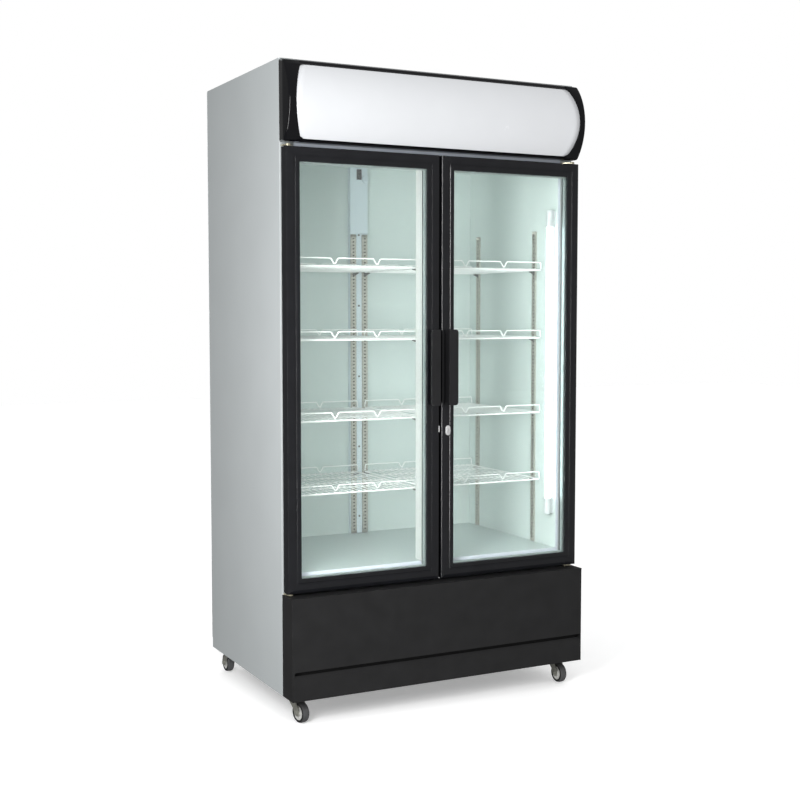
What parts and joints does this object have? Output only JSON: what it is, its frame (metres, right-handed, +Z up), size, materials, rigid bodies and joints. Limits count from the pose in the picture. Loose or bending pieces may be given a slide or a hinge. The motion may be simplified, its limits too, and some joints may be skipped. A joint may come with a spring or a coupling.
{
  "type": "glass door merchandiser",
  "caption": "Upright two-door glass-fronted drinks fridge with lit sign canopy, wire shelves, base machine compartment and swivel castors.",
  "frame": {"origin": "centre of the footprint on the floor, under the middle of the cabinet's bounding box", "axes": "+Z up, -Y out of the front where the doors are, +X to the right as seen from the front"},
  "size_m": [1.04, 0.73, 1.99],
  "materials": {
    "body_paint": "satin light grey powder coat",
    "white_liner": "smooth white coated sheet",
    "foam": "rigid foam, hidden",
    "header_trim": "satin pale grey paint",
    "galvanised": "galvanised sheet",
    "shelf_coat": "white epoxy coated wire",
    "clip_plastic": "dark moulded plastic",
    "lamp_tube": "frosted lamp tube with grey end caps",
    "zinc_brass": "yellow zinc plate",
    "gloss_black": "glossy black moulding",
    "sign_white": "translucent white sign panel",
    "frame_black": "black coated aluminium extrusion",
    "cover_black": "matt black powder coat",
    "glazing": "clear double glazing",
    "gasket_rubber": "soft magnetic seal",
    "chrome": "polished chrome plate",
    "zinc": "bright zinc plate",
    "wheel_grey": "grey tyre on a pale hub",
    "compressor_black": "black painted steel shell",
    "coil": "aluminium fins on tubes",
    "black_coil": "black painted fins on tubes",
    "black_plastic": "black moulded plastic"
  },
  "bodies": {
    "cabinet": {"side_panel_left": "body_paint", "side_panel_right": "body_paint", "back_panel": "body_paint", "top_panel": "body_paint", "foam_insulation": "foam", "inner_liner": "white_liner", "ceiling_panel": "white_liner", "floor_panel": "white_liner", "front_frame": "header_trim", "centre_mullion": "white_liner", "back_post": "white_liner", "shelf_strips": "galvanised", "shelf_clips": "clip_plastic", "shelf_left_1": "shelf_coat", "shelf_left_2": "shelf_coat", "shelf_left_3": "shelf_coat", "shelf_left_4": "shelf_coat", "shelf_right_1": "shelf_coat", "shelf_right_2": "shelf_coat", "shelf_right_3": "shelf_coat", "shelf_right_4": "shelf_coat", "interior_lamp": "lamp_tube", "hinge_plates": "zinc_brass", "canopy_end_caps": "gloss_black", "canopy_rails": "gloss_black", "canopy_diffuser": "sign_white", "canopy_tray": "gloss_black", "canopy_lamps": "lamp_tube", "base_cover": "cover_black", "base_tray": "galvanised", "rear_grille": "galvanised", "fasteners": "zinc", "compressor": "compressor_black", "condenser": "black_coil", "condenser_fan_frame": "black_coil", "drip_tray": "black_plastic", "evaporator": "coil", "evaporator_fan_frame": "black_coil", "mains_inlet": "black_plastic", "castor_plates": "zinc"},
    "door_left": {"door_frame_left": "frame_black", "door_glass_left": "glazing", "door_gasket_left": "gasket_rubber", "door_handle_left": "frame_black"},
    "door_right": {"door_frame_right": "frame_black", "door_glass_right": "glazing", "door_gasket_right": "gasket_rubber", "door_handle_right": "frame_black", "lock_housing": "chrome"},
    "lock_cam": {"lock_barrel": "chrome"},
    "condenser_fan": {"condenser_fan_blade": "black_plastic"},
    "evaporator_fan": {"evaporator_fan_blade": "black_plastic"},
    "castor_front_left": {"castor_fork_front_left": "zinc"},
    "wheel_front_left": {"castor_wheel_front_left": "wheel_grey"},
    "castor_front_right": {"castor_fork_front_right": "zinc"},
    "wheel_front_right": {"castor_wheel_front_right": "wheel_grey"},
    "castor_rear_left": {"castor_fork_rear_left": "zinc"},
    "wheel_rear_left": {"castor_wheel_rear_left": "wheel_grey"},
    "castor_rear_right": {"castor_fork_rear_right": "zinc"},
    "wheel_rear_right": {"castor_wheel_rear_right": "wheel_grey"}
  },
  "joints": [
    {"name": "door_left_hinge", "type": "hinge", "parent": "cabinet", "child": "door_left", "pos_m": [-0.503, -0.311, 1.066], "axis": [0, 0, -1], "range_deg": [0, 105], "stiffness_Nm_per_rad": 1.5, "springref_deg": -34.38},
    {"name": "door_right_hinge", "type": "hinge", "parent": "cabinet", "child": "door_right", "pos_m": [0.503, -0.311, 1.066], "axis": [0, 0, 1], "range_deg": [0, 105], "stiffness_Nm_per_rad": 1.5, "springref_deg": -34.38},
    {"name": "lock_turn", "type": "hinge", "parent": "door_right", "child": "lock_cam", "pos_m": [0.0265, -0.311, 0.873], "axis": [0, 1, 0], "range_deg": [0, 90]},
    {"name": "condenser_fan_spin", "type": "hinge", "parent": "cabinet", "child": "condenser_fan", "pos_m": [0.15, -0.173, 0.215], "axis": [0, 1, 0], "continuous": true},
    {"name": "evaporator_fan_spin", "type": "hinge", "parent": "cabinet", "child": "evaporator_fan", "pos_m": [0, -0.035, 1.844], "axis": [0, 1, 0], "continuous": true},
    {"name": "castor_swivel_front_left", "type": "hinge", "parent": "cabinet", "child": "castor_front_left", "pos_m": [-0.474, -0.275, 0.072], "axis": [0, 0, 1], "continuous": true},
    {"name": "wheel_spin_front_left", "type": "hinge", "parent": "castor_front_left", "child": "wheel_front_left", "pos_m": [-0.46818, -0.30239, 0.031], "axis": [0.9781, 0.2079, 0], "continuous": true},
    {"name": "castor_swivel_front_right", "type": "hinge", "parent": "cabinet", "child": "castor_front_right", "pos_m": [0.474, -0.275, 0.072], "axis": [0, 0, 1], "continuous": true},
    {"name": "wheel_spin_front_right", "type": "hinge", "parent": "castor_front_right", "child": "wheel_front_right", "pos_m": [0.474, -0.303, 0.031], "axis": [1, 0, 0], "continuous": true},
    {"name": "castor_swivel_rear_left", "type": "hinge", "parent": "cabinet", "child": "castor_rear_left", "pos_m": [-0.474, 0.305, 0.072], "axis": [0, 0, 1], "continuous": true},
    {"name": "wheel_spin_rear_left", "type": "hinge", "parent": "castor_rear_left", "child": "wheel_rear_left", "pos_m": [-0.474, 0.333, 0.031], "axis": [1, 0, 0], "continuous": true},
    {"name": "castor_swivel_rear_right", "type": "hinge", "parent": "cabinet", "child": "castor_rear_right", "pos_m": [0.474, 0.305, 0.072], "axis": [0, 0, 1], "continuous": true},
    {"name": "wheel_spin_rear_right", "type": "hinge", "parent": "castor_rear_right", "child": "wheel_rear_right", "pos_m": [0.474, 0.333, 0.031], "axis": [1, 0, 0], "continuous": true}
  ]
}
